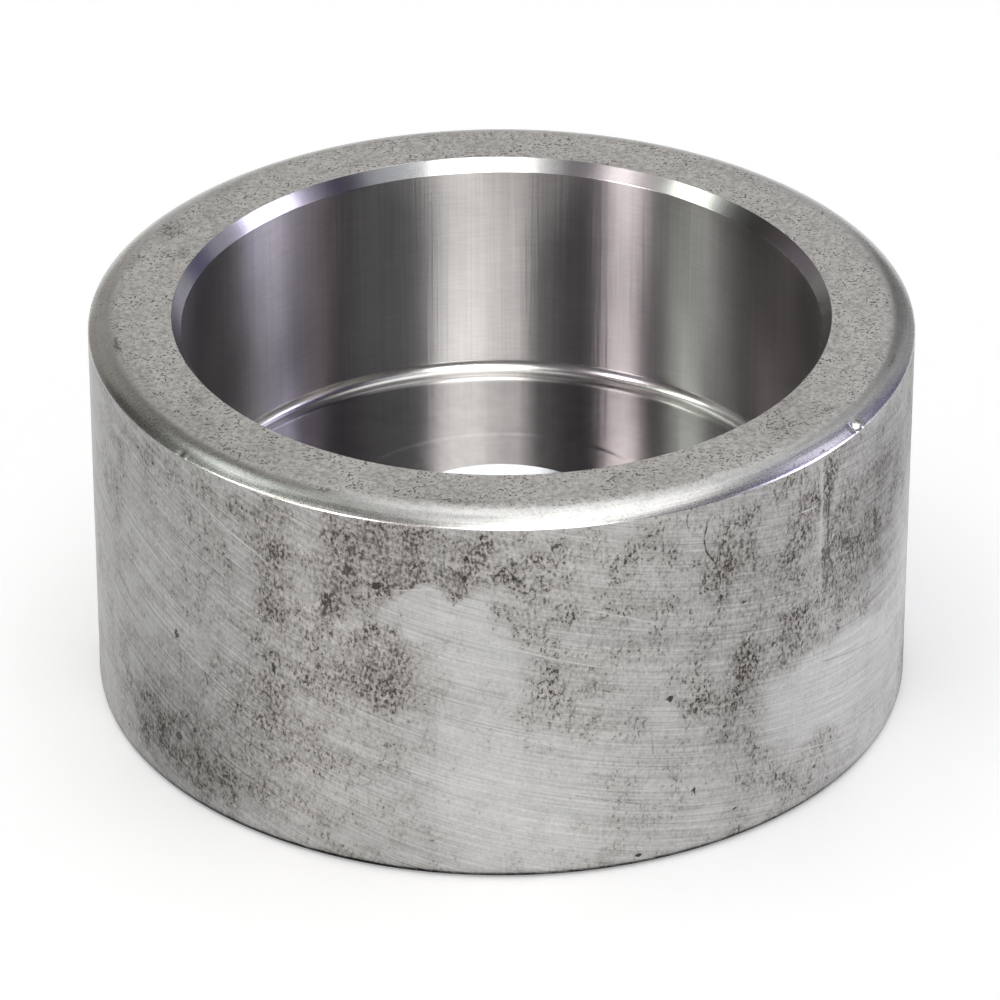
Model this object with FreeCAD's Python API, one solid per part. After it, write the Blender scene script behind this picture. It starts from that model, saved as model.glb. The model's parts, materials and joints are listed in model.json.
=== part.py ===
import FreeCAD, Part
import math
import os

# A blind cap that is welded over the end of a pipe. One piece of forged steel with a turned
# socket. It stands on its closed end with the socket's mouth upwards. The origin is the centre
# of the closed end's flat face, and +Z runs up the axis. Lengths are millimetres.

# Outside of the forging
BODY_DIAMETER = 63.0
BODY_HEIGHT = 31.0
BASE_EDGE_RADIUS = 0.5

# Turned round between the mouth face and the outside. It stops short of running tangent into
# the forged wall, so a crisp line is left all the way round.
MOUTH_ROUND_RADIUS = 3.5
MOUTH_ROUND_SWEEP = 43.0

# Socket that the pipe's end slides into, 0.5 mm wider than the 48.3 mm pipe
SOCKET_DIAMETER = 48.8
SOCKET_DEPTH = 19.0
MOUTH_CHAMFER_WIDTH = 0.75
MOUTH_CHAMFER_DEPTH = 1.0
FLOOR_CORNER_RADIUS = 0.95

# Socket floor. The facing cut leaves a low step part of the way in, and the drill that opened
# the socket leaves a shallow cone in the middle.
FACING_STEP_DIAMETER = 28.4
FACING_STEP_WIDTH = 0.4
FACING_STEP_DEPTH = 0.04
DRILL_CONE_DIAMETER = 18.6
DRILL_CONE_SLOPE = 12.0


def point(radius, height):
    """A point of the half section, at a distance from the axis and a height."""
    return FreeCAD.Vector(radius, 0, height)


def line(start, end):
    """A straight stretch of the half section."""
    return Part.LineSegment(start, end).toShape()


def arc(centre, radius, first_angle, last_angle):
    """A round stretch of the half section, with angles in degrees up from straight outwards."""
    points = []
    for angle in (first_angle, (first_angle + last_angle) / 2, last_angle):
        turn = math.radians(angle)
        points.append(centre + point(radius * math.cos(turn), radius * math.sin(turn)))
    return Part.Arc(*points).toShape()


def outside_edges():
    """The section's edges from the middle of the closed end, round the outside, to the mouth."""
    wall = BODY_DIAMETER / 2
    base_corner = point(wall - BASE_EDGE_RADIUS, BASE_EDGE_RADIUS)

    # The turned round's lowest angle is where it meets the wall
    meeting_angle = 90 - MOUTH_ROUND_SWEEP
    meeting = math.radians(meeting_angle)
    round_centre = point(
        wall - MOUTH_ROUND_RADIUS * math.cos(meeting),
        BODY_HEIGHT - MOUTH_ROUND_RADIUS,
    )
    wall_top = round_centre.z + MOUTH_ROUND_RADIUS * math.sin(meeting)
    mouth = SOCKET_DIAMETER / 2 + MOUTH_CHAMFER_WIDTH

    return [
        line(point(0, 0), point(base_corner.x, 0)),
        arc(base_corner, BASE_EDGE_RADIUS, -90, 0),
        line(point(wall, BASE_EDGE_RADIUS), point(wall, wall_top)),
        arc(round_centre, MOUTH_ROUND_RADIUS, meeting_angle, 90),
        line(point(round_centre.x, BODY_HEIGHT), point(mouth, BODY_HEIGHT)),
    ]


def socket_edges():
    """The section's edges from the mouth, down the socket's wall, to the middle of its floor."""
    wall = SOCKET_DIAMETER / 2
    mouth = point(wall + MOUTH_CHAMFER_WIDTH, BODY_HEIGHT)
    wall_top = point(wall, BODY_HEIGHT - MOUTH_CHAMFER_DEPTH)
    floor = BODY_HEIGHT - SOCKET_DEPTH
    floor_corner = point(wall - FLOOR_CORNER_RADIUS, floor + FLOOR_CORNER_RADIUS)

    step_top = point(FACING_STEP_DIAMETER / 2, floor)
    step_foot = step_top - point(FACING_STEP_WIDTH, FACING_STEP_DEPTH)
    cone_edge = point(DRILL_CONE_DIAMETER / 2, step_foot.z)
    cone_depth = cone_edge.x * math.tan(math.radians(DRILL_CONE_SLOPE))
    cone_tip = point(0, cone_edge.z - cone_depth)

    return [
        line(mouth, wall_top),
        line(wall_top, point(wall, floor_corner.z)),
        arc(floor_corner, FLOOR_CORNER_RADIUS, 0, -90),
        line(point(floor_corner.x, floor), step_top),
        line(step_top, step_foot),
        line(step_foot, cone_edge),
        line(cone_edge, cone_tip),
        line(cone_tip, point(0, 0)),
    ]


def cap_body():
    """The whole cap: its half section turned once round the axis."""
    section = Part.Face(Part.Wire(outside_edges() + socket_edges()))
    return section.revolve(point(0, 0), FreeCAD.Vector(0, 0, 1), 360)


def main():
    os.makedirs("parts", exist_ok=True)
    cap = cap_body()
    cap.exportStep("parts/cap_body.step")
    print("cap_body valid", cap.isValid(), "solids", len(cap.Solids))
    print("volume in cubic centimetres", round(cap.Volume / 1000, 3))


main()
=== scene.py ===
import json
import math

import bpy
import numpy as np
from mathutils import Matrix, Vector, noise


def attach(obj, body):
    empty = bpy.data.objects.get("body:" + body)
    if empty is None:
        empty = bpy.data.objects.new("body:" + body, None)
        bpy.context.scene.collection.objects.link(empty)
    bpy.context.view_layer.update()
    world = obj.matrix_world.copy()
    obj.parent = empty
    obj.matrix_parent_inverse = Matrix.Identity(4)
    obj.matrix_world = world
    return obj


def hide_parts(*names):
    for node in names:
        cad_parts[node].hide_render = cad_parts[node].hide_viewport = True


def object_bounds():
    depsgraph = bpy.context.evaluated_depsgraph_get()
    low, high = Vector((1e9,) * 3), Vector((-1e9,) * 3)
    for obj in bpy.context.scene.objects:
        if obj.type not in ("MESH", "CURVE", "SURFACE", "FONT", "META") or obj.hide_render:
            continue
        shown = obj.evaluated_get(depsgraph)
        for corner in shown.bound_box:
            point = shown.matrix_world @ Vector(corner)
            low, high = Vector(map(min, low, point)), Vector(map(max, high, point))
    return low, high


# A socket weld cap as one turned mesh with its steels, in the studio that its turned steel reflects

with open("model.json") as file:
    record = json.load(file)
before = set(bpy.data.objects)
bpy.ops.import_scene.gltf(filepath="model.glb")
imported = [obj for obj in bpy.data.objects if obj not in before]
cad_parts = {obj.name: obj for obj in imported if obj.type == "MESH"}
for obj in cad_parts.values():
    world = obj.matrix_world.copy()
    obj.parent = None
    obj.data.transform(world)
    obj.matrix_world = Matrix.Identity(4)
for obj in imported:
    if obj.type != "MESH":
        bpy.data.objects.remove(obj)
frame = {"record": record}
cad_low, cad_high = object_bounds()

MM = 0.001

# Sizes of the cap in millimetres, from the frame where it states them
NODE = "cap_body"
SOCKET = next(m for m in frame["record"]["mounts"] if m["name"] == "socket")
BODY_RADIUS = cad_high.x / MM
BODY_HEIGHT = cad_high.z / MM
SOCKET_RADIUS = SOCKET["dims"]["r_mm"]
SOCKET_DEPTH = 19.0
BASE_EDGE_RADIUS = 0.5
MOUTH_ROUND_RADIUS = 3.5
MOUTH_ROUND_SWEEP = 43.0
MOUTH_CHAMFER_WIDTH = 0.75
MOUTH_CHAMFER_DEPTH = 1.0
FLOOR_CORNER_RADIUS = 0.95
FACING_STEP_RADIUS = 14.2
FACING_STEP_WIDTH = 0.4
FACING_STEP_DEPTH = 0.04
DRILL_CONE_RADIUS = 9.3
DRILL_CONE_SLOPE = 12.0

# The mesh's columns: degrees between them on the marked front, on the rest and at the large nick, how
# far round the front reaches each way, and from where to where the nick's columns go
FRONT_COLUMN = 0.45
OTHER_COLUMN = 1.5
NICK_COLUMN = FRONT_COLUMN / 3
FRONT_REACH = 75
NICK_SPAN = (55.0, 59.5)

# The mesh's rows: millimetres between them on each stretch, how many go round each bend, the worn width
# of an edge between two stretches, and the radius of the rows next to the axis
BASE_ROW = 3.0
WALL_ROW = 0.36
FACE_ROW = 0.45
CHAMFER_ROW = 0.4
TURNED_ROW = 1.2
STEP_ROW = 0.2
CONE_ROW = 1.0
BASE_EDGE_ROWS = 6
MOUTH_ROUND_ROWS = 16
FLOOR_CORNER_ROWS = 10
WORN_EDGE = 0.04
AXIS_RING = 0.02

# Marks that use and storage left, and tones of the wall that are partly painted light and shade. Azimuth is
# in degrees round the axis, 0 at the front and positive towards +X, and other sizes are millimetres. Each
# mark has its azimuth, its height, half its width in degrees, half its height and its strength.
# How light the bare wall is, partly its own tone and partly painted light and shade: darker towards both
# sides and at the foot, lighter at the front. Strength is the share of light gained or lost
WALL_TONES_AND_PAINTED_LIGHT = [
    (-62, 17, 26, 30, -0.24), (-36, 16, 7, 22, -0.10), (-50, 5, 14, 7, -0.20), (-20, 28, 14, 5, -0.12),
    (36, 20, 10, 14, -0.10), (62, 23, 13, 9, -0.22), (54, 9, 18, 5, 0.05), (4, 8, 14, 9, 0.08),
    (-20, 1, 20, 2, -0.06), (8, 26, 12, 5, 0.07), (12, 3, 16, 4, 0.05), (66, 21, 7, 8, -0.16),
    (78, 24, 9, 10, -0.22), (-8, 20.5, 10, 3.5, 0.04), (34, 9, 5, 5, -0.08), (74, 10, 8, 12, 0.06),
]
# Stained and rubbed places: a negative strength is a rubbed, clean place
WALL_GROUND = 0.16
WALL_STAINS = [
    (-32.5, 25.5, 3.2, 5.5, 0.48), (-33, 17.5, 3.6, 5.5, 0.36), (-34, 10, 5, 5, 0.24), (-30, 6, 6, 3, 0.20),
    (-22.5, 26.5, 4.2, 4, 0.55), (-17, 27.5, 3.2, 3.6, 0.68), (-12.5, 27.5, 3.6, 3.2, 0.55),
    (-5, 27, 3.6, 2.8, 0.82), (-23.8, 22.4, 2.2, 2, 0.57), (-28, 21, 4.2, 4.2, 0.26),
    (-16.5, 18.2, 4.6, 4.2, 0.69), (-11.5, 18.5, 3.2, 5, 0.20), (-21.5, 17.5, 3, 3.4, 0.10),
    (-26, 14, 5, 5, 0.26), (-18, 11.5, 4, 3.5, 0.23), (-26, 7, 6, 4, 0.08), (-3, 17, 3, 1.5, -0.10),
    (-50, 5, 9, 3.2, 0.36), (-60, 5, 6, 3, 0.28), (-46, 3, 7, 2, 0.24), (-40, 4.6, 4.5, 3, 0.22),
    (-39, 9, 5, 4, 0.11), (-44, 18, 8, 8, 0.08), (-66, 26, 6, 4, 0.16), (-40, 26.5, 4, 4, 0.09),
    (2.5, 26, 4.5, 4, 0.40), (8.5, 24, 5, 5, 0.26), (1, 21, 3.5, 2, 0.13), (8, 15, 6, 4, 0.28),
    (14, 26, 5, 4, 0.07), (15, 16, 4.5, 5, 0.12), (20.5, 22, 6, 8, 0.17), (26, 27.5, 4, 3, 0.14),
    (30, 23.5, 2.6, 4, 0.42), (34, 26.5, 4, 3.6, 0.34), (36, 22, 5, 4, 0.26), (37, 17, 5, 3.6, 0.34),
    (33.5, 12.5, 4.5, 4, 0.44), (28.5, 10.8, 4, 3.6, 0.08), (27, 15, 3, 4, 0.28), (37, 8.5, 3.5, 2.5, 0.14),
    (43, 26.5, 4, 4, 0.42), (43.5, 21, 4, 4, 0.37), (46.5, 26.5, 2, 2.6, 0.53), (50, 27.5, 1.8, 2.2, 0.45),
    (50, 22, 1.5, 5.5, 0.62), (45, 15, 4.2, 2.6, 0.56), (54, 24, 4, 6, 0.38), (57, 18, 6, 4, 0.35),
    (63, 22, 6, 6, 0.36), (42, 3.4, 5, 2.2, 0.28), (50, 4.5, 3, 2.5, 0.34), (42, 6.8, 4.5, 2.6, 0.09),
    (37, 4, 2.4, 3, 0.21), (18, 7, 5, 3, 0.06), (-12, 24.8, 5, 1.2, 0.31), (10, 28.6, 16, 1.4, 0.24),
    (-48, 28.5, 14, 1.6, 0.19), (3, 6, 10, 6, -0.22), (66, 6, 8, 6, -0.25), (-59, 16, 7, 6, -0.14),
]
# Rubbed patches with a clear edge: the last number is the edge's softness as a share of the size
CLEAN_PATCHES = [
    (-8.5, 22.6, 7.6, 2.2, 0.14), (54, 9.4, 16.5, 3.8, 0.20), (-3.5, 19.6, 5.0, 3.0, 0.40),
    (-3, 7.0, 6.0, 6.0, 0.60),
]
# Scratches and cracks: a strength that is positive for dark and negative for pale, half the width in
# millimetres, and the line's points by azimuth and height
WALL_LINES = [
    (1.0, 0.07, [(28.4, 28.4), (27.9, 27.2), (28.3, 26.0), (29.7, 24.9), (30.6, 23.4), (30.4, 22.3)]),
    (0.9, 0.05, [(25.8, 30.0), (25.2, 29.2), (25.4, 28.6)]),
    (0.8, 0.11, [(50.0, 28.2), (50.3, 26.0), (50.1, 23.5), (50.6, 21.0), (50.1, 18.2)]),
    (-0.38, 0.2, [(48.4, 29.4), (48.7, 26.0), (48.5, 22.5), (48.9, 18.0)]),
    (-0.7, 0.05, [(11.5, 23.0), (16.0, 22.1), (20.5, 21.1)]),
    (-0.6, 0.06, [(-1.0, 20.6), (6.0, 19.2), (13.0, 18.0)]),
    (-0.7, 0.07, [(45.0, 26.2), (47.6, 26.1)]), (-0.5, 0.06, [(-44.0, 26.9), (-34.0, 24.6)]),
    (-0.5, 0.05, [(-57.0, 21.8), (-46.0, 19.4)]), (-0.5, 0.05, [(-50.0, 13.6), (-40.0, 11.6)]),
    (0.5, 0.05, [(-52.0, 23.5), (-41.0, 21.5)]), (0.5, 0.05, [(-60.0, 17.0), (-47.0, 14.4)]),
    (0.9, 0.10, [(-24.9, 23.1), (-24.3, 22.0), (-23.5, 22.7), (-23.2, 21.8), (-24.2, 21.3)]),
    (0.7, 0.06, [(-34.5, 27.5), (-33.2, 26.6), (-32.0, 25.9)]), (0.7, 0.06, [(-31.2, 27.4), (-32.2, 26.2)]),
    (0.7, 0.06, [(-4.9, 29.2), (-3.6, 28.6), (-2.6, 28.9)]),
    (0.8, 0.08, [(-6.8, 26.8), (-5.4, 26.2), (-4.8, 25.1)]),
    (0.7, 0.06, [(1.0, 26.6), (1.8, 26.0), (2.2, 25.4)]), (0.6, 0.05, [(33.6, 7.0), (34.4, 5.4)]),
    (0.6, 0.06, [(-16.3, 24.6), (-13.4, 25.0), (-11.8, 24.8)]), (-0.6, 0.05, [(-14.5, 24.4), (-9.0, 24.9)]),
    (-0.5, 0.05, [(40.5, 11.6), (44.0, 12.4), (47.5, 12.5)]), (-0.5, 0.05, [(3.0, 12.2), (9.0, 11.1)]),
    (0.6, 0.05, [(18.4, 12.9), (18.1, 12.1)]), (0.5, 0.05, [(20.6, 11.2), (20.9, 9.6)]),
    (-0.5, 0.05, [(44.0, 5.6), (57.0, 3.4)]), (-0.5, 0.05, [(50.0, 9.0), (66.0, 6.4)]),
    (0.35, 0.05, [(50.0, 12.0), (66.0, 9.6)]), (0.35, 0.05, [(10.0, 7.0), (24.0, 4.6)]),
]
# Pits and hard specks on the outside: azimuth, height, half width and half height in millimetres
WALL_PITS = [
    (23.2, 14.1, 0.34, 0.30), (27.2, 13.4, 0.28, 0.24), (27.0, 5.5, 0.26, 0.30), (39.8, 15.9, 0.26, 0.22),
    (33.5, 2.8, 0.22, 0.20), (48.5, 3.0, 0.22, 0.30), (4.5, 19.0, 0.30, 0.14), (10.0, 11.2, 0.28, 0.10),
    (45.2, 14.6, 0.20, 0.28), (30.7, 21.8, 0.16, 0.30), (34.6, 20.6, 0.18, 0.18), (-32.2, 15.4, 0.20, 0.60),
    (-32.6, 16.6, 0.16, 0.22), (-16.9, 24.6, 0.34, 0.30), (-24.0, 22.9, 0.16, 0.34),
    (-23.4, 22.0, 0.22, 0.20), (-50.5, 14.3, 0.26, 0.38), (-50.5, 5.2, 0.42, 0.34),
    (-47.0, 6.6, 0.26, 0.24), (-59.0, 28.3, 0.20, 0.20), (-55.0, 27.8, 0.18, 0.16),
    (18.9, 0.9, 0.24, 0.10), (35.1, 26.2, 0.34, 0.14), (1.7, 26.0, 0.14, 0.30), (-5.0, 25.9, 0.30, 0.24),
    (-27.6, 0.2, 0.30, 0.12), (-11.4, 0.2, 0.34, 0.12), (-6.6, 20.9, 0.12, 0.10), (-4.6, 27.6, 0.22, 0.30),
]
# Stains on the mouth's face and round, by radius in place of height
MOUTH_STAINS = [
    (-116, 28.7, 3.5, 0.9, 0.70), (-110, 26.3, 2.5, 0.6, 0.70), (-124, 27.4, 3.0, 0.8, 0.45),
    (-131, 29.0, 4.0, 0.7, 0.50), (-105, 29.5, 2.0, 0.4, 0.50), (-95, 29.2, 1.2, 0.4, 0.60),
    (-79, 29.6, 3.0, 0.25, 0.80), (-58, 26.6, 1.6, 0.6, 0.90), (-52, 28.0, 5.0, 0.9, 0.45),
    (-38, 27.0, 8.0, 1.8, 0.35), (-27, 30.0, 6.0, 0.35, 0.70), (-10, 27.5, 12.0, 2.0, 0.25),
    (25, 27.5, 12.0, 2.0, 0.30), (50, 27.5, 9.0, 2.0, 0.40), (57.5, 28.8, 1.0, 0.4, 0.80),
    (57, 25.7, 6.0, 0.5, 0.50), (82, 25.5, 4.0, 0.35, 0.60), (75.5, 30.35, 2.0, 0.2, 0.90),
    (140, 28.8, 12.0, 0.5, 0.30), (-50, 29.3, 22.0, 0.8, 0.42), (-75, 29.0, 14.0, 0.9, 0.30),
    (-6, 29.0, 9.0, 0.35, 0.60), (14, 25.2, 0.8, 0.15, 0.90), (18, 25.2, 0.6, 0.15, 0.90),
]
# Nicks on the mouth's round: azimuth, radius and height of the middle, half width and how far it stands
# out, all lengths in millimetres
NICKS = [
    (57.9, 31.15, 30.1, 0.42, 0.30), (56.6, 30.95, 30.2, 0.36, -0.16), (-48.7, 31.25, 30.1, 0.22, -0.09),
    (-48.1, 31.3, 30.05, 0.18, 0.08),
]
# How far a nick's points rise for each millimetre that they move outwards
NICK_RISE = 0.55

# How far noise of 1 moves a stain's edge, in degrees round the axis and in millimetres up the wall, and
# the edge of a rubbed patch round the axis
STAIN_FRAY_ROUND = 1.2
STAIN_FRAY_UP = 0.7
PATCH_FRAY_ROUND = 0.4
# A rubbed patch loses this share of its stain, is this much cleaner than the bare wall, and lighter
PATCH_LOSS = 0.85
PATCH_CLEANNESS = 0.22
PATCH_TONE = 0.04
# The azimuth of an upright edge, and how much darker the wall is to its left
SHADE_EDGE = -8.7
SHADE = 0.07
# The painted contact shadow along the wall's foot: between which heights it ends, how dark it is at the
# front, and how much less dark at the sides
FOOT_SHADOW_LINE = (0.34, 0.62)
FOOT_SHADOW_DARKNESS = 0.85
FOOT_SHADOW_SIDE_LOSS = 0.45
# How many half widths of its line a point may be away to belong to it, and what stands for no line near
LINE_REACH = 12
NO_LINE = 40.0
# The azimuth up to which marks are listed, and the degrees over which clouds of stain take over
PLACED_REACH = 68
PLACED_FADE = 14
# How far outside its inner edge the mouth's round begins to be polished, and over what width it grows so
POLISH_START = 0.3
POLISH_WIDTH = 0.9
# How far the wall's strokes fall on their way round to the right, and how they lose that slope
STROKE_FALL = 0.26
STROKE_FALL_LOSS = 0.04
# Inside this radius, marks that run round the axis get no finer
FINEST_RADIUS = 0.2

# Colours of the wall, the mouth and the closed end
WALL_BARE = (0.46, 0.46, 0.452)
WALL_STAIN_TINT = (0.98, 0.94, 0.895)
WALL_DIRT = (0.058, 0.049, 0.043, 1)
WALL_SCRATCH = (0.60, 0.595, 0.585, 1)
WALL_PIT = (0.02, 0.018, 0.017, 1)
MOUTH_FACE = (0.435, 0.418, 0.392)
MOUTH_ROUND = (0.52, 0.515, 0.50)
MOUTH_DIRT = (0.085, 0.074, 0.064, 1)
BASE_DARK_RING = (0.42, 0.42, 0.41, 1)
BASE_PALE_RING = (0.54, 0.54, 0.53, 1)
BASE_DIRT = (0.16, 0.145, 0.13, 1)


class Section:
    """The cap's half section as rows of (radius, height), each stretch with its own zone."""

    def __init__(self, start):
        self.rows = [start]
        self.zones = []

    def add(self, point, zone):
        self.rows.append(point)
        self.zones.append(zone)

    def straight(self, end, zone, spacing):
        """A straight stretch, with a close row near each end so that its shading stays flat."""
        start = np.array(self.rows[-1])
        end = np.array(end)
        length = np.linalg.norm(end - start)
        inner = max(1, round((length - 2 * WORN_EDGE) / spacing))
        shares = [WORN_EDGE / length + k / inner * (1 - 2 * WORN_EDGE / length) for k in range(inner + 1)]
        for share in shares + [1.0]:
            self.add(tuple(start + (end - start) * share), zone)

    def bend(self, centre, radius, first, last, zone, steps):
        """A round stretch, with angles in degrees up from straight outwards."""
        for k in range(1, steps + 1):
            turn = math.radians(first + (last - first) * k / steps)
            self.add((centre[0] + radius * math.cos(turn), centre[1] + radius * math.sin(turn)), zone)


def cap_section():
    """The whole section, from the middle of the closed end to the middle of the socket's floor."""
    meeting = 90 - MOUTH_ROUND_SWEEP
    round_x = BODY_RADIUS - MOUTH_ROUND_RADIUS * math.cos(math.radians(meeting))
    round_z = BODY_HEIGHT - MOUTH_ROUND_RADIUS
    wall_top = round_z + MOUTH_ROUND_RADIUS * math.sin(math.radians(meeting))
    floor = BODY_HEIGHT - SOCKET_DEPTH
    step_foot = floor - FACING_STEP_DEPTH
    cone_depth = DRILL_CONE_RADIUS * math.tan(math.radians(DRILL_CONE_SLOPE))

    section = Section((AXIS_RING, 0.0))
    base_x = BODY_RADIUS - BASE_EDGE_RADIUS
    section.straight((base_x, 0.0), "base", BASE_ROW)
    section.bend((base_x, BASE_EDGE_RADIUS), BASE_EDGE_RADIUS, -90, 0, "wall", BASE_EDGE_ROWS)
    section.straight((BODY_RADIUS, wall_top), "wall", WALL_ROW)
    section.bend((round_x, round_z), MOUTH_ROUND_RADIUS, meeting, 90, "mouth", MOUTH_ROUND_ROWS)
    section.straight((SOCKET_RADIUS + MOUTH_CHAMFER_WIDTH, BODY_HEIGHT), "mouth", FACE_ROW)
    section.straight((SOCKET_RADIUS, BODY_HEIGHT - MOUTH_CHAMFER_DEPTH), "chamfer", CHAMFER_ROW)
    section.straight((SOCKET_RADIUS, floor + FLOOR_CORNER_RADIUS), "bore", TURNED_ROW)
    corner = (SOCKET_RADIUS - FLOOR_CORNER_RADIUS, floor + FLOOR_CORNER_RADIUS)
    section.bend(corner, FLOOR_CORNER_RADIUS, 0, -90, "corner", FLOOR_CORNER_ROWS)
    section.straight((FACING_STEP_RADIUS, floor), "floor", TURNED_ROW)
    section.straight((FACING_STEP_RADIUS - FACING_STEP_WIDTH, step_foot), "floor", STEP_ROW)
    section.straight((DRILL_CONE_RADIUS, step_foot), "floor", TURNED_ROW)
    section.straight((AXIS_RING, step_foot - cone_depth), "floor", CONE_ROW)
    return section


def column_turns():
    """The azimuth of each column, close together on the front."""
    front = np.arange(-FRONT_REACH, FRONT_REACH, FRONT_COLUMN)
    front = np.union1d(front, np.arange(*NICK_SPAN, NICK_COLUMN))
    rest = np.arange(FRONT_REACH, 360 - FRONT_REACH, OTHER_COLUMN)
    return np.radians(np.concatenate([front, rest]))


def press_nicks(grid):
    """Moves the points round each nick outwards or inwards."""
    for azimuth, radius, height, half_width, stand in NICKS:
        turn = math.radians(azimuth)
        outward = np.array([math.sin(turn), -math.cos(turn), NICK_RISE])
        outward = outward / np.linalg.norm(outward)
        middle = np.array([radius * math.sin(turn), -radius * math.cos(turn), height]) * MM
        reach = np.linalg.norm(grid - middle, axis=2) / (half_width * MM)
        grid += (stand * MM * np.exp(-reach ** 3))[:, :, None] * outward
    grid[:, :, 2] = np.minimum(grid[:, :, 2], BODY_HEIGHT * MM)


def lathe(name, section):
    """Turns a section once round the axis into one closed mesh, with a vertex at each end of the axis."""
    rows = np.array(section.rows) * MM
    turns = column_turns()
    columns = len(turns)
    grid = np.empty((len(rows), columns, 3))
    grid[:, :, 0] = rows[:, :1] * np.sin(turns)
    grid[:, :, 1] = -rows[:, :1] * np.cos(turns)
    grid[:, :, 2] = rows[:, 1:]
    press_nicks(grid)
    points = [tuple(p) for p in grid.reshape(-1, 3)]
    points += [(0, 0, rows[0][1]), (0, 0, rows[-1][1])]

    faces = []
    zones = []
    for r, zone in enumerate(section.zones):
        low, high = r * columns, (r + 1) * columns
        for c in range(columns):
            after = (c + 1) % columns
            faces.append((low + c, low + after, high + after, high + c))
            zones.append(zone)
    last = (len(rows) - 1) * columns
    for c in range(columns):
        after = (c + 1) % columns
        faces.append((after, c, len(points) - 2))
        zones.append(section.zones[0])
        faces.append((last + c, last + after, len(points) - 1))
        zones.append(section.zones[-1])

    mesh = bpy.data.meshes.new(name)
    mesh.from_pydata(points, [], faces)
    steps = np.linalg.norm(np.diff(rows, axis=0), axis=1)
    along = np.concatenate([[0], np.cumsum(steps)])
    set_values(mesh, "along", np.append(np.repeat(along, columns), [0, along[-1]]))
    return mesh, zones


def set_values(mesh, name, values):
    """Keeps one number for each vertex, which the materials read."""
    attribute = mesh.attributes.new(name, "FLOAT", "POINT")
    attribute.data.foreach_set("value", np.asarray(values, np.float32))


def eased(value, low, high):
    """0 below low, 1 above high and smooth between."""
    share = np.clip((value - low) / (high - low), 0, 1)
    return share * share * (3 - 2 * share)


def reach_of(azimuth, height, mark):
    """How far each point is from a mark's middle, as a share of the mark's half size."""
    across = ((azimuth - mark[0] + 180) % 360 - 180) / mark[2]
    return np.hypot(across, (height - mark[1]) / mark[3])


def total_of(marks, azimuth, height):
    """The sum of soft marks at each point, by azimuth and by height or radius."""
    return sum(mark[4] * np.exp(-reach_of(azimuth, height, mark) ** 3) for mark in marks)


def soft_noise(points, scale):
    """Noise of about -0.5 to 0.5 at each point, with a scale for each direction."""
    return np.array([noise.noise(Vector(place)) for place in points * scale])


def wall_fields(azimuth, height, wander):
    """Stain, tone with painted light and shade, and pits on the outside. wander is noise of about -1 to 1
    that frays the marks.
    """
    level = height + STAIN_FRAY_UP * wander
    clean = np.zeros(len(azimuth))
    for mark in CLEAN_PATCHES:
        reach = reach_of(azimuth + PATCH_FRAY_ROUND * wander, level, mark)
        clean = np.maximum(clean, 1 - eased(reach, 1 - mark[4], 1 + mark[4]))
    stain = WALL_GROUND + total_of(WALL_STAINS, azimuth + STAIN_FRAY_ROUND * wander, level)
    stain = stain * (1 - PATCH_LOSS * clean) - PATCH_CLEANNESS * clean

    # Left of an upright edge the wall is a shade darker, but not near the mouth or far round the side
    left = eased(SHADE_EDGE - azimuth, -0.25, 0.25) * eased(azimuth, -40, -20)
    left = left * (1 - eased(height, 24, 25))
    tone_and_painted_light = total_of(WALL_TONES_AND_PAINTED_LIGHT, azimuth, height) + PATCH_TONE * clean - SHADE * left

    pits = np.full(len(azimuth), -1.0)
    for mark in WALL_PITS:
        half_width = math.degrees(mark[2] / BODY_RADIUS)
        pits = np.maximum(pits, 1 - reach_of(azimuth, height, (mark[0], mark[1], half_width, mark[3])))

    # Along the foot of the wall runs a dark line of painted contact shadow, less dark towards the sides
    foot_shadow = 1 - eased(height, *FOOT_SHADOW_LINE)
    tone_and_painted_light = tone_and_painted_light - foot_shadow * (FOOT_SHADOW_DARKNESS - FOOT_SHADOW_SIDE_LOSS * eased(np.abs(azimuth), 35, 75))
    return stain, tone_and_painted_light, pits


def line_fields(azimuth, height):
    """How far to one side of its nearest line each point is, in half widths, and that line's strength."""
    across = np.radians(azimuth) * BODY_RADIUS
    place = np.stack([across, height], 1)
    nearest = np.full(len(azimuth), NO_LINE)
    side = np.full(len(azimuth), NO_LINE)
    strength = np.zeros(len(azimuth))
    for depth, half_width, points in WALL_LINES:
        ends = np.array([(math.radians(a) * BODY_RADIUS, h) for a, h in points])
        for first, last in zip(ends[:-1], ends[1:]):
            along = last - first
            length = np.linalg.norm(along)
            share = np.clip((place - first) @ along / length ** 2, 0, 1)
            away = place - first - share[:, None] * along
            distance = np.linalg.norm(away, axis=1) / half_width
            turned = (place - first) @ np.array([-along[1], along[0]]) / length
            closer = distance < nearest
            nearest = np.where(closer, distance, nearest)
            side = np.where(closer, np.sign(turned) * distance, side)
            strength = np.where(closer, depth, strength)
    return side, strength * (nearest < LINE_REACH)


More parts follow.
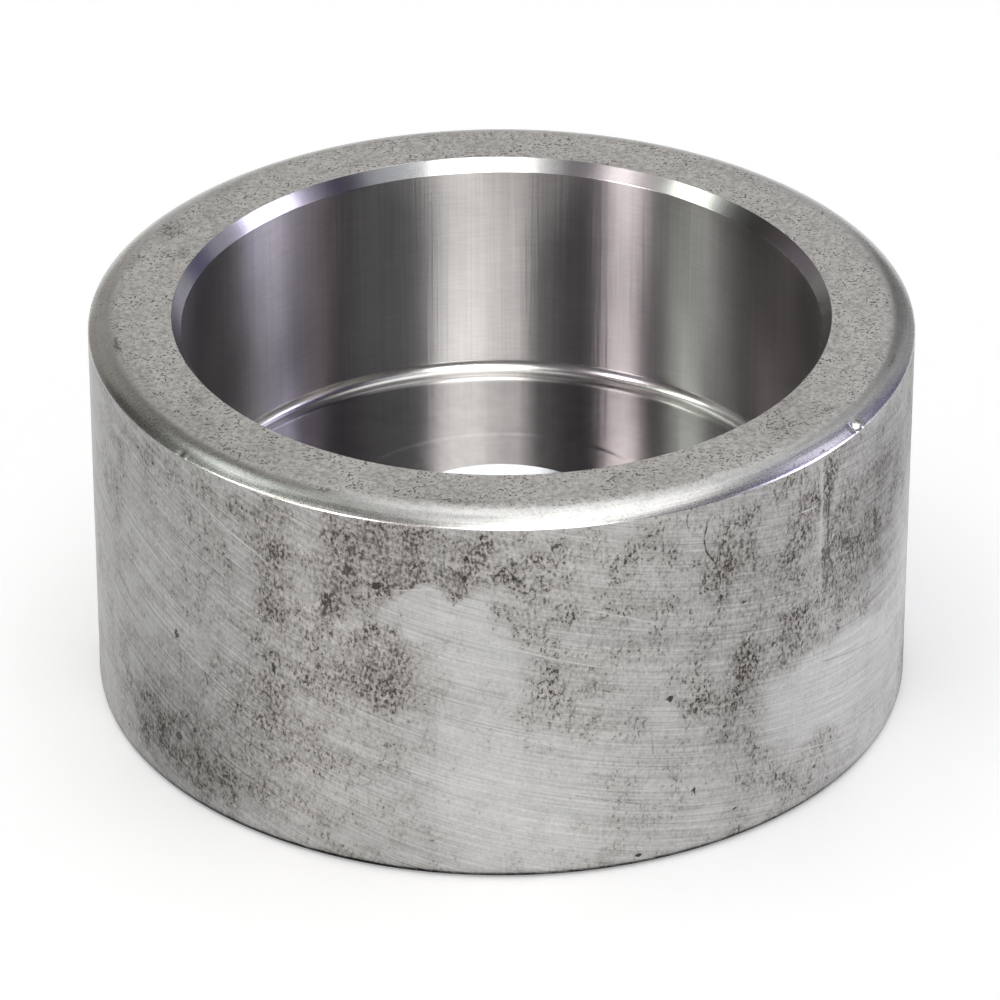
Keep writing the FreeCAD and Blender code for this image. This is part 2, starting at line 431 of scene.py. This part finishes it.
def add_wear_and_painted_light(mesh):
    """The fields that the materials read: stains, tone with painted light and shade, pits, polish and the
    level that strokes follow.
    """
    points = np.empty(len(mesh.vertices) * 3)
    mesh.vertices.foreach_get("co", points)
    points = points.reshape(-1, 3) / MM
    azimuth = np.degrees(np.arctan2(points[:, 0], -points[:, 1]))
    radius = np.hypot(points[:, 0], points[:, 1])
    height = points[:, 2]
    wander = 2 * soft_noise(points, (0.45, 0.45, 0.45))
    clouds = 0.12 + 0.8 * soft_noise(points, (0.11, 0.11, 0.07))

    # On the sides that no mark is placed on, the stains are clouds that run down the wall
    away = np.clip((np.abs(azimuth) - PLACED_REACH) / PLACED_FADE, 0, 1)
    outside, tone_and_painted_light, pits = wall_fields(azimuth, height, wander)
    outside = outside + away * clouds
    mouth = total_of(MOUTH_STAINS, azimuth, radius) + 0.15 * clouds
    sweep = math.radians(MOUTH_ROUND_SWEEP)
    wall_top = BODY_HEIGHT - MOUTH_ROUND_RADIUS * (1 - math.cos(sweep))
    round_start = BODY_RADIUS - MOUTH_ROUND_RADIUS * math.sin(sweep)
    on_mouth = (height > wall_top - 0.01) & (radius > SOCKET_RADIUS)
    on_wall = (radius > SOCKET_RADIUS + 2) & ~on_mouth
    set_values(mesh, "stain", np.where(on_mouth, mouth, np.where(on_wall, outside, 0)))
    set_values(mesh, "tone_and_painted_light", np.where(on_wall, tone_and_painted_light, 0))
    set_values(mesh, "pits", np.where(on_wall, pits, -1))
    line_side, strength = line_fields(azimuth, height)
    set_values(mesh, "line_side", line_side)
    set_values(mesh, "line_strength", np.where(on_wall, strength, 0))
    set_values(mesh, "polish", np.clip((radius - round_start - POLISH_START) / POLISH_WIDTH, 0, 1))

    # Strokes fall to the right, and less so at the right. turn is the azimuth in radians on the front,
    # from the first terms of the arcsine's series, and past the sides it turns back smoothly.
    side = np.sin(np.radians(azimuth))
    turn = side + side ** 3 / 6 + 3 / 40 * side ** 5
    fall = STROKE_FALL * turn - STROKE_FALL_LOSS * turn ** 2
    set_values(mesh, "stroke_level", height + BODY_RADIUS * fall)


class Nodes:
    """The node tree of a material or world, with short calls that add a node and link its inputs."""

    def __init__(self, owner):
        self.owner = owner
        owner.use_nodes = True
        self.tree = owner.node_tree
        self.tree.nodes.clear()

    def add(self, kind, inputs=None, output=0, **settings):
        """A new node's output. Its inputs are values or other nodes' outputs."""
        node = self.tree.nodes.new("ShaderNode" + kind)
        for key, value in settings.items():
            setattr(node, key, value)
        for key, value in (inputs or {}).items():
            socket = node.inputs[key]
            if isinstance(value, bpy.types.NodeSocket):
                self.tree.links.new(value, socket)
            else:
                socket.default_value = value
        return node.outputs[output]

    def math(self, operation, first, second=0.0):
        return self.add("Math", {0: first, 1: second}, operation=operation)

    def times(self, first, second):
        return self.math("MULTIPLY", first, second)

    def total(self, values):
        result = values[0]
        for value in values[1:]:
            result = self.math("ADD", result, value)
        return result

    def scaled(self, value, factor):
        """A noise's value about its middle, times a factor."""
        return self.add("Math", {0: value, 1: factor, 2: -0.5 * factor}, operation="MULTIPLY_ADD")

    def between(self, value, low, high, to_low=0.0, to_high=1.0):
        """A value eased from one range to another."""
        inputs = {"Value": value, "From Min": low, "From Max": high, "To Min": to_low, "To Max": to_high}
        return self.add("MapRange", inputs, interpolation_type="SMOOTHSTEP")

    # A Mix node's inputs share their names, so their numbers tell them apart: 2 and 3 are for values,
    # and 6 and 7 for colours
    def between_values(self, share, first, second):
        """A value between two values."""
        return self.add("Mix", {0: share, 2: first, 3: second}, data_type="FLOAT")

    def between_colours(self, share, first, second):
        """A colour between two colours."""
        return self.add("Mix", {0: share, 6: first, 7: second}, output=2, data_type="RGBA")

    def join(self, x, y, z):
        return self.add("CombineXYZ", {0: x, 1: y, 2: z})

    def tinted(self, colour, tint):
        """Two colours or vectors multiplied part by part."""
        return self.add("VectorMath", {0: colour, 1: tint}, operation="MULTIPLY")

    def shaded(self, shade, colour):
        """A colour times a brightness."""
        return self.tinted(self.join(shade, shade, shade), colour)

    def place(self):
        """Where the point is, in the cap's own frame."""
        return self.add("TexCoord", output="Object")

    def x_and_y(self, vector):
        node = self.tree.nodes.new("ShaderNodeSeparateXYZ")
        self.tree.links.new(vector, node.inputs[0])
        return node.outputs[0], node.outputs[1]

    def attribute(self, name):
        """A number that the mesh keeps for each vertex."""
        return self.add("Attribute", output="Fac", attribute_name=name)

    def noise(self, vector, scale=1.0, detail=2.0, roughness=0.5):
        inputs = {"Vector": vector, "Scale": scale, "Detail": detail, "Roughness": roughness}
        return self.add("TexNoise", inputs)

    def turned(self, round_scale, along_scale):
        """Coordinates for marks that run round the axis: slow round it and quick along the section."""
        x, y = self.x_and_y(self.place())
        square = self.math("ADD", self.times(x, x), self.times(y, y))
        reach = self.math("MAXIMUM", self.math("POWER", square, 0.5), FINEST_RADIUS * MM)
        return self.join(
            self.times(self.math("DIVIDE", x, reach), round_scale),
            self.times(self.math("DIVIDE", y, reach), round_scale),
            self.times(self.attribute("along"), along_scale),
        )

    def bump(self, height, distance=1.0):
        """A bump whose height is in metres times the distance."""
        return self.add("Bump", {"Height": height, "Distance": distance})

    def directly_seen(self):
        """1 where a surface is seen, mirrored or seen through glass, and 0 where it only gives light."""
        path = self.tree.nodes.new("ShaderNodeLightPath")
        seen = self.math("MAXIMUM", path.outputs["Is Camera Ray"], path.outputs["Is Glossy Ray"])
        return self.math("MAXIMUM", seen, path.outputs["Is Transmission Ray"])

    def finish(self, shader, kind="OutputMaterial"):
        output = self.tree.nodes.new("ShaderNode" + kind)
        self.tree.links.new(shader, output.inputs["Surface"])
        return self.owner


def new_material(name):
    return Nodes(bpy.data.materials.new(name))


def turned_steel(name, colour, roughness, anisotropy, groove, streak):
    """Bright steel with fine grooves that run round the axis, and shallow streaks that cross them.

    groove has a groove's length, pitch and depth, and streak a streak's width, length, depth and
    contrast, with lengths in millimetres."""
    nodes = new_material(name)
    groove_length, groove_pitch, groove_depth = groove
    streak_width, streak_length, streak_depth, contrast = streak
    grooves = nodes.noise(nodes.turned(SOCKET_RADIUS / groove_length, 1 / (groove_pitch * MM)), detail=1.0)
    crossing = nodes.turned(SOCKET_RADIUS / streak_width, 1 / (streak_length * MM))
    streaks = nodes.noise(crossing, detail=2.0, roughness=0.6)
    height = nodes.total([nodes.times(grooves, groove_depth * MM), nodes.times(streaks, streak_depth * MM)])
    wear = nodes.noise(nodes.place(), scale=260.0, detail=4.0, roughness=0.6)
    shade = nodes.total([
        1.0, nodes.scaled(wear, 0.16), nodes.scaled(streaks, contrast),
        nodes.scaled(grooves, 0.5 * contrast),
    ])
    inputs = {
        "Base Color": nodes.shaded(shade, colour),
        "Metallic": 1.0,
        "Roughness": nodes.between(wear, 0.3, 0.7, roughness * 0.97, roughness * 1.03),
        "Anisotropic": anisotropy,
        "Anisotropic Rotation": 0.25,
        "Tangent": nodes.add("Tangent", direction_type="RADIAL", axis="Z"),
        "Normal": nodes.bump(height),
    }
    return nodes.finish(nodes.add("BsdfPrincipled", inputs))


def wall_strokes(nodes, place):
    """Long fine strokes, and a few broader ones, each with a pitch and a length in millimetres."""
    x, y = nodes.x_and_y(place)
    level = nodes.attribute("stroke_level")
    strokes = []
    for pitch, length, detail in ((0.16, 11.0, 3.0), (0.45, 15.0, 1.0)):
        flat = nodes.join(
            nodes.times(x, 1 / (length * MM)),
            nodes.times(y, 1 / (length * MM)),
            nodes.times(level, 1 / pitch),
        )
        strokes.append(nodes.noise(flat, detail=detail, roughness=0.75))
    return strokes


def wall_dirt(nodes, share, stroke, grain, blots, broad):
    """Dirt that holds in the grain as fine dots, and as blots that run down the wall and along the
    strokes, both closer and larger where the share of stain is higher."""
    along_strokes = nodes.scaled(stroke, 0.35)
    edge = nodes.between_values(share, 0.70, 0.50)
    dots = nodes.between(nodes.math("ADD", grain, along_strokes), edge, nodes.math("ADD", edge, 0.08))
    edge = nodes.between_values(share, 0.76, 0.53)
    blot = nodes.between(nodes.math("ADD", blots, along_strokes), edge, nodes.math("ADD", edge, 0.13))
    thick = nodes.times(
        nodes.between(broad, 0.35, 0.65, 0.4, 1.0), nodes.between(share, 0.3, 0.95, 0.55, 0.95),
    )
    return nodes.times(nodes.math("MAXIMUM", dots, nodes.times(blot, 0.66)), thick)


def outer_steel():
    """The forged wall: linished in slanting strokes, with stains that hold in its grain, pits, and light
    and shade painted into its colour.
    """
    nodes = new_material("outer_steel")
    place = nodes.place()
    fine_stroke, broad_stroke = wall_strokes(nodes, place)
    bright_stroke = nodes.between(broad_stroke, 0.60, 0.76)
    grain = nodes.noise(nodes.tinted(place, (4300, 4300, 2900)), detail=2.0, roughness=0.6)
    blots = nodes.noise(nodes.tinted(place, (2900, 2900, 1700)), detail=3.0, roughness=0.66)
    broad = nodes.noise(place, scale=420.0, detail=3.0, roughness=0.6)
    share = nodes.between(nodes.total([nodes.attribute("stain"), nodes.scaled(broad, 1.4)]), -0.25, 1.0)
    dirt = wall_dirt(nodes, share, fine_stroke, grain, blots, broad)
    pits = nodes.between(nodes.total([nodes.attribute("pits"), nodes.scaled(blots, 2.2)]), -0.1, 0.25)

    # The bare steel, darker and browner where it is stained, and lighter or darker by its tone, which
    # partly paints light and shade
    flecks = nodes.times(nodes.scaled(grain, 1.0), nodes.between_values(share, -0.42, -1.0))
    shade = nodes.total([
        1.0, nodes.attribute("tone_and_painted_light"), nodes.scaled(fine_stroke, 1.05), flecks, nodes.scaled(broad, -0.12),
        nodes.times(bright_stroke, 0.08), nodes.times(share, -0.34),
        nodes.times(nodes.scaled(blots, -1.3), share),
    ])
    bare = nodes.shaded(shade, WALL_BARE)
    bare = nodes.between_colours(share, bare, nodes.tinted(bare, WALL_STAIN_TINT))

    # Dark lines count as dirt, and pale ones are fresh scratches
    near_line = nodes.between(nodes.math("ABSOLUTE", nodes.attribute("line_side")), 0.5, 1.4, 1.0, 0.0)
    ragged = nodes.times(near_line, nodes.between(blots, 0.38, 0.56, 0.35, 1.0))
    line = nodes.times(ragged, nodes.attribute("line_strength"))
    dirt = nodes.math("MAXIMUM", dirt, line)
    pale = nodes.times(nodes.math("MINIMUM", line, 0.0), -1.25)
    colour = nodes.between_colours(dirt, bare, WALL_DIRT)
    colour = nodes.between_colours(pale, colour, WALL_SCRATCH)
    colour = nodes.between_colours(pits, colour, WALL_PIT)
    height = nodes.total([
        nodes.times(fine_stroke, 0.010 * MM),
        nodes.times(grain, nodes.between_values(share, 0.006 * MM, 0.03 * MM)),
        nodes.times(pits, -0.15 * MM),
    ])
    inputs = {
        "Base Color": colour,
        "Metallic": nodes.between(pits, 0.0, 1.0, 1.0, 0.0),
        "Roughness": nodes.between(dirt, 0.0, 1.0, 0.43, 0.6),
        "Normal": nodes.bump(height),
    }
    return nodes.finish(nodes.add("BsdfPrincipled", inputs))


def mouth_steel():
    """The mouth's face, sawn dull, and its turned round, brighter towards the outside."""
    nodes = new_material("mouth_steel")
    place = nodes.place()
    stain = nodes.attribute("stain")
    polish = nodes.attribute("polish")
    grain = nodes.noise(place, scale=2600.0, detail=3.0, roughness=0.66)
    broad = nodes.noise(place, scale=420.0, detail=3.0, roughness=0.6)
    turning = nodes.noise(nodes.turned(5.0, 1 / (0.15 * MM)), detail=2.0, roughness=0.6)
    fine = nodes.noise(place, scale=4200.0, detail=1.0)

    # Dirt lies in stained places, and as dots in the grain of the dull face
    specks = nodes.total([nodes.scaled(grain, 3.2), nodes.scaled(broad, 1.8)])
    dirt = nodes.between(nodes.total([stain, -0.75, nodes.times(specks, 1.6)]), 0.25, 0.6)
    dots = nodes.times(nodes.between(fine, 0.56, 0.64), nodes.between(broad, 0.4, 0.6, 0.28, 0.9))
    dots = nodes.times(dots, nodes.between(polish, 0.0, 1.0, 1.0, 0.12))
    dirt = nodes.math("MAXIMUM", nodes.times(dirt, 0.72), dots)

    shade = nodes.total([
        1.0, nodes.times(nodes.scaled(grain, 1.0), nodes.between(polish, 0.0, 1.0, 1.5, 0.25)),
        nodes.scaled(fine, 0.5), nodes.scaled(broad, 0.45),
        nodes.times(nodes.math("MAXIMUM", stain, 0.0), -0.25),
        nodes.times(nodes.scaled(turning, 0.5), polish),
    ])
    face = nodes.shaded(shade, MOUTH_FACE)
    bright = nodes.shaded(shade, MOUTH_ROUND)
    colour = nodes.between_colours(polish, face, bright)
    colour = nodes.between_colours(dirt, colour, MOUTH_DIRT)
    height = nodes.total([
        nodes.times(grain, nodes.between(polish, 0.0, 1.0, 0.016 * MM, 0.002 * MM)),
        nodes.times(turning, 0.007 * MM),
    ])
    inputs = {
        "Base Color": colour,
        "Metallic": 1.0,
        "Roughness": nodes.total([nodes.between(polish, 0.0, 1.0, 0.5, 0.27), nodes.times(dirt, 0.12)]),
        "Normal": nodes.bump(height),
    }
    return nodes.finish(nodes.add("BsdfPrincipled", inputs))


def closed_end_steel():
    """The underside: faced flat, with rings from the cut and light stains."""
    nodes = new_material("closed_end_steel")
    place = nodes.place()
    rings = nodes.noise(nodes.turned(2.0, 1 / (0.35 * MM)), detail=3.0, roughness=0.6)
    grain = nodes.noise(place, scale=900.0, detail=5.0, roughness=0.65)
    broad = nodes.noise(place, scale=90.0, detail=3.0)
    dirt = nodes.between(nodes.total([nodes.scaled(grain, 2.0), nodes.scaled(broad, 3.0)]), 0.0, 0.9)
    bare = nodes.between_colours(nodes.between(rings, 0.3, 0.7), BASE_DARK_RING, BASE_PALE_RING)
    inputs = {
        "Base Color": nodes.between_colours(nodes.times(dirt, 0.6), bare, BASE_DIRT),
        "Metallic": 1.0,
        "Roughness": nodes.between(dirt, 0.0, 1.0, 0.4, 0.6),
        "Normal": nodes.bump(rings, 0.02 * MM),
    }
    return nodes.finish(nodes.add("BsdfPrincipled", inputs))


def cap_looks():
    """The material of each zone of the section."""
    fine_groove = (6.0, 0.3, 0.0004)
    return {
        "base": closed_end_steel(),
        "wall": outer_steel(),
        "mouth": mouth_steel(),
        "chamfer": turned_steel(
            "chamfer_steel", colour=(0.40, 0.395, 0.395), roughness=0.24, anisotropy=0.5,
            groove=fine_groove, streak=(0.5, 1.0, 0.0015, 0.1),
        ),
        "bore": turned_steel(
            "socket_wall_steel", colour=(0.335, 0.327, 0.325), roughness=0.32, anisotropy=1.0,
            groove=(1.6, 0.22, 0.0024), streak=(0.17, 16.0, 0.0062, 0.35),
        ),
        "corner": turned_steel(
            "socket_corner_steel", colour=(0.50, 0.49, 0.48), roughness=0.24, anisotropy=0.5,
            groove=fine_groove, streak=(1.0, 3.0, 0.002, 0.1),
        ),
        "floor": turned_steel(
            "socket_floor_steel", colour=(0.46, 0.452, 0.455), roughness=0.12, anisotropy=0.5,
            groove=fine_groove, streak=(2.0, 2.2, 0.002, 0.3),
        ),
    }


def place_in_scene(name, data):
    thing = bpy.data.objects.new(name, data)
    bpy.context.scene.collection.objects.link(thing)
    return thing


def make_cap():
    mesh, zones = lathe("cap", cap_section())
    add_wear_and_painted_light(mesh)
    looks = cap_looks()
    order = list(looks)
    for zone in order:
        mesh.materials.append(looks[zone])
    mesh.polygons.foreach_set("material_index", [order.index(zone) for zone in zones])
    mesh.polygons.foreach_set("use_smooth", [True] * len(mesh.polygons))
    cap = place_in_scene("cap", mesh)
    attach(cap, "root")
    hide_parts(NODE)


# The stage, in metres. Cards and the lamp face its middle. Flags stand a little farther out than cards,
# so that a card is never hidden by a flag that reaches behind it.
STAGE_MIDDLE = Vector((0, 0, 0.015))
CARD_DISTANCE = 1.1
FLAG_DISTANCE = 1.02 * CARD_DISTANCE
CARD_COLUMN_DEGREES = 4
CARD_ROW_DEGREES = 6
FLOOR_HALF_SIZE = 4.0
FLOOR_PAPER = (0.88, 0.88, 0.88, 1)
FLOOR_GLOW = 0.32
WORLD_LIGHT = 0.45
LAMP_PLACE = (-0.1, 0.0, 1.3)
LAMP_SIZE = 1.2
LAMP_WATTS = 9.0

# The camera, as fitted to the photo's outline and rim edges: metres, degrees and millimetres of lens
CAMERA_DISTANCE = 0.50102
CAMERA_ELEVATION = 30.3058
CAMERA_PITCH = 30.4421
CAMERA_TURN = 0.0151
CAMERA_LENS = 233.06

# Cards and dark flags round the cap: name, azimuths, elevations and radiance. Azimuth is degrees from
# straight at the camera, positive to the camera's left.
CARDS = [
    ("back_card", 165, 195, 0, 44, (0.75, 0.75, 0.76)),
    ("back_high_card", 170, 200, 44, 62, (2.3, 2.4, 2.5)),
    ("back_top_card", 150, 210, 62, 76, (1.9, 1.9, 1.9)),
    ("left_rear_card", 135, 165, 0, 35, (0.42, 0.40, 0.38)),
    ("left_rear_flag", 135, 170, 0, 62, (0.17, 0.15, 0.13)),
    ("left_rear_top_flag", 135, 150, 62, 76, (0.16, 0.16, 0.16)),
    ("left_far_card", 104, 135, 0, 18, (0.28, 0.25, 0.28)),
    ("left_far_flag", 104, 135, 18, 48, (0.05, 0.04, 0.03)),
    ("left_patch_card", 100, 130, 49, 59, (2.4, 2.6, 2.45)),
    ("left_patch_flag", 98, 122, 48, 62, (0.02, 0.02, 0.02)),
    ("left_patch_rear_flag", 122, 135, 48, 62, (0.0, 0.0, 0.0)),
    ("left_outer_flag", 82, 104, 0, 34, (0.0, 0.0, 0.0)),
    ("left_outer_card", 82, 104, 34, 48, (0.4, 0.4, 0.42)),
    ("left_green_card", 71, 82, 14, 50, (7.0, 7.4, 6.7)),
    ("left_green_low_flag", 71, 82, 0, 14, (0.0, 0.0, 0.0)),
    ("left_green_flag", 75, 98, 48, 62, (0.0, 0.0, 0.0)),
    ("left_strip_card", 60, 72, 53, 60, (2.9, 2.75, 2.65)),
    ("left_strip_flag", 53.5, 75, 50, 62, (0.02, 0.01, 0.02)),
    ("left_middle_flag", 52, 71, 0, 50, (0.02, 0.0, 0.01)),
    ("left_pink_card", 39.5, 52, 0, 34, (14.8, 13.3, 13.3)),
    ("left_pink_high_card", 41, 52, 34, 44, (4.0, 3.7, 3.8)),
    ("left_pink_flag", 41, 53.5, 44, 62, (0.0, 0.0, 0.0)),
    ("left_inner_low_flag", 10.5, 41, 0, 36, (0.07, 0.04, 0.08)),
    ("left_inner_flag", 24, 41, 36, 62, (0.05, 0.04, 0.06)),
    ("left_top_flag", 14, 100, 62, 76, (0.0, 0.0, 0.0)),
    ("left_top_card", 100, 135, 62, 76, (0.7, 0.7, 0.68)),
    ("front_left_low_flag", -6, 10.5, 0, 18, (0.0, 0.0, 0.0)),
    ("front_left_low_card", -6, 10.5, 18, 34, (1.8, 1.75, 1.8)),
    ("front_left_card", -6, 10.5, 34, 62, (7.8, 7.7, 7.4)),
    ("front_left_edge_card", 10.5, 24, 39, 48, (1.7, 1.75, 1.75)),
    ("front_left_edge_high_flag", 10.5, 24, 48, 62, (0.1, 0.1, 0.1)),
    ("front_left_edge_flag", 10.5, 24, 36, 39, (0.0, 0.0, 0.0)),
    ("front_right_low_card", -26, -6, 0, 18, (2.8, 2.75, 2.7)),
    ("front_right_card", -26, -6, 18, 62, (8.3, 8.25, 8.0)),
    ("front_top_card", -27, 14, 62, 76, (4.1, 4.1, 4.05)),
    ("right_inner_flag", -57, -26, 0, 40, (0.02, 0.01, 0.03)),
    ("right_high_card", -57, -26, 40, 49, (1.35, 1.42, 1.5)),
    ("right_high_flag", -57, -26, 49, 62, (0.1, 0.1, 0.1)),
    ("right_middle_flag", -70, -57, 0, 62, (0.02, 0.0, 0.06)),
    ("right_grey_card", -84, -70, 0, 34, (1.2, 1.1, 1.4)),
    ("right_grey_flag", -87, -70, 34, 62, (0.0, 0.0, 0.0)),
    ("right_violet_card", -93, -84, 0, 34, (9.6, 9.1, 11.2)),
    ("right_violet_edge_card", -102, -93, 0, 34, (7.0, 6.7, 8.7)),
    ("right_violet_high_card", -109, -87, 34, 48, (0.05, 0.04, 0.3)),
    ("right_violet_flag", -121, -87, 48, 62, (0.0, 0.0, 0.0)),
    ("right_patch_card", -121, -109, 34, 50, (2.5, 2.4, 2.8)),
    ("right_outer_low_card", -121, -102, 0, 22, (0.6, 0.58, 0.64)),
    ("right_outer_flag", -121, -102, 0, 34, (0.0, 0.0, 0.03)),
    ("right_far_card", -135, -121, 0, 62, (0.1, 0.1, 0.22)),
    ("right_rear_card", -150, -135, 0, 38, (0.48, 0.48, 0.48)),
    ("right_rear_high_card", -150, -135, 38, 62, (1.0, 1.0, 1.0)),
    ("right_rear_flag", -165, -150, 0, 62, (0.18, 0.18, 0.18)),
    ("right_top_card", -150, -27, 62, 76, (2.2, 2.2, 2.2)),
    ("overhead_right_card", -180, 0, 76, 90, (2.3, 2.3, 2.3)),
    ("overhead_left_card", 0, 90, 76, 90, (1.6, 1.6, 1.6)),
    ("overhead_rear_card", 90, 180, 76, 90, (0.7, 0.7, 0.7)),
]


def card_mesh(name, azimuths, elevations, distance):
    """A curved sheet at one distance from the stage's middle, between two azimuths and two elevations."""
    left, right = azimuths
    low, high = elevations
    columns = max(2, int((right - left) / CARD_COLUMN_DEGREES) + 1)
    rows = max(2, int((high - low) / CARD_ROW_DEGREES) + 1)
    turns = np.radians(np.linspace(left, right, columns))
    lifts = np.radians(np.linspace(low, high, rows))
    points = []
    for lift in lifts:
        level = math.cos(lift)
        for turn in turns:
            away = Vector((-math.sin(turn) * level, -math.cos(turn) * level, math.sin(lift)))
            points.append(tuple(STAGE_MIDDLE + distance * away))
    faces = []
    for row in range(rows - 1):
        for column in range(columns - 1):
            corner = row * columns + column
            faces.append((corner, corner + 1, corner + columns + 1, corner + columns))
    mesh = bpy.data.meshes.new(name)
    mesh.from_pydata(points, [], faces)
    return mesh


def make_cards():
    """Tinted cards and dark flags all round the cap, which show as bands in the turned steel only."""
    for name, left, right, low, high, radiance in CARDS:
        distance = FLAG_DISTANCE if name.endswith("flag") else CARD_DISTANCE
        mesh = card_mesh(name, (left, right), (low, high), distance)
        nodes = new_material(name)
        glow = nodes.add("Emission", {"Color": (*radiance, 1), "Strength": 1.0})
        mesh.materials.append(nodes.finish(glow))
        card = place_in_scene(name, mesh)
        card.visible_camera = False
        card.visible_diffuse = False
        card.visible_shadow = False


def make_floor():
    """A pale paper floor, whose glow only brightens it where it is seen."""
    size = FLOOR_HALF_SIZE
    mesh = bpy.data.meshes.new("studio_floor")
    corners = [(-size, -size, 0), (size, -size, 0), (size, size, 0), (-size, size, 0)]
    mesh.from_pydata(corners, [], [(0, 1, 2, 3)])
    nodes = new_material("studio_floor")
    seen = nodes.directly_seen()
    paper = nodes.add("BsdfDiffuse", {"Color": FLOOR_PAPER})
    glow = nodes.add("Emission", {"Color": (1, 1, 1, 1), "Strength": nodes.times(seen, FLOOR_GLOW)})
    mesh.materials.append(nodes.finish(nodes.add("AddShader", {0: paper, 1: glow})))
    place_in_scene("studio_floor", mesh)


def make_world():
    """A pale surround where it is seen, and a weaker light on what it falls on."""
    world = bpy.data.worlds.new("studio")
    bpy.context.scene.world = world
    nodes = Nodes(world)
    strength = nodes.add("MapRange", {"To Min": WORLD_LIGHT, "To Max": 1.0, "Value": nodes.directly_seen()})
    nodes.finish(nodes.add("Background", {"Strength": strength}), "OutputWorld")


def make_lamp():
    """A wide soft lamp overhead, which gloss doesn't show."""
    lamp = bpy.data.lights.new("overhead", "AREA")
    lamp.shape = "RECTANGLE"
    lamp.size = LAMP_SIZE
    lamp.size_y = LAMP_SIZE
    lamp.energy = LAMP_WATTS
    thing = place_in_scene("overhead", lamp)
    thing.location = LAMP_PLACE
    thing.rotation_mode = "QUATERNION"
    thing.rotation_quaternion = (Vector(LAMP_PLACE) - STAGE_MIDDLE).to_track_quat("Z", "Y")
    thing.visible_glossy = False


def make_camera():
    """A long lens that looks down on the middle of the cap."""
    data = bpy.data.cameras.new("camera")
    data.sensor_width = 36.0
    data.lens = CAMERA_LENS
    data.clip_start = 0.01
    data.clip_end = 20.0
    camera = place_in_scene("camera", data)
    elevation = math.radians(CAMERA_ELEVATION)
    middle = BODY_HEIGHT * MM / 2
    height = middle + CAMERA_DISTANCE * math.sin(elevation)
    camera.location = (0, -CAMERA_DISTANCE * math.cos(elevation), height)
    camera.rotation_euler = (math.radians(90 - CAMERA_PITCH), 0, math.radians(CAMERA_TURN))
    bpy.context.scene.camera = camera


make_cap()
make_floor()
make_cards()
make_world()
make_lamp()
make_camera()
bpy.context.scene.view_settings.view_transform = "Standard"
